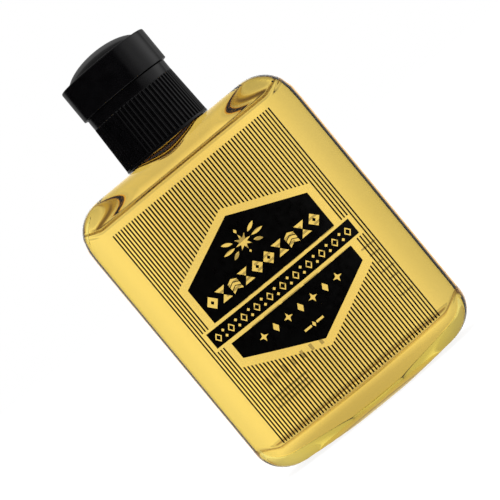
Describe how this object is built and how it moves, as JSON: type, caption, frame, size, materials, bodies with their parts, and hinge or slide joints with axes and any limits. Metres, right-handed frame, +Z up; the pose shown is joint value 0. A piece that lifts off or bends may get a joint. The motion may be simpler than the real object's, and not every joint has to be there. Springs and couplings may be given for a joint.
{
  "type": "aftershave bottle",
  "caption": "Flat clear flask filled with golden aftershave, printed label front and back, and a black ribbed screw closure with a domed flip-top lid.",
  "frame": {"origin": "centre of the base, on the plane that the flask stands on", "axes": "+Z up the bottle axis, the front label faces -Y, +X to its right"},
  "size_m": [0.068, 0.0302, 0.1167],
  "materials": {
    "clear_glass": "polished clear glass",
    "aftershave": "clear golden liquid",
    "printed_film": "clear film printed in black",
    "liner_foam": "white foam",
    "black_plastic": "black satin moulded plastic"
  },
  "bodies": {
    "flask": {"bottle": "clear_glass", "aftershave_liquid": "aftershave", "front_label": "printed_film", "back_label": "printed_film"},
    "liner": {"sealing_liner": "liner_foam"},
    "closure": {"cap_base": "black_plastic", "living_hinge": "black_plastic"},
    "lid": {"cap_lid": "black_plastic"}
  },
  "joints": [
    {"name": "cap_rise", "type": "slide", "parent": "flask", "child": "liner", "axis": [0, 0, 1], "range_m": [0, 0.0201]},
    {"name": "cap_turn", "type": "hinge", "parent": "liner", "child": "closure", "pos_m": [0, 0, 0.0866], "axis": [0, 0, 1], "range_deg": [0, 2268]},
    {"name": "lid_hinge", "type": "hinge", "parent": "closure", "child": "lid", "pos_m": [0, 0.01375, 0.10398], "axis": [-1, 0, 0], "range_deg": [0, 120], "deforming": ["living_hinge"]}
  ],
  "couplings": [
    {"joint": "cap_rise", "follows": "cap_turn", "m_per_rad": 0.00050532}
  ]
}
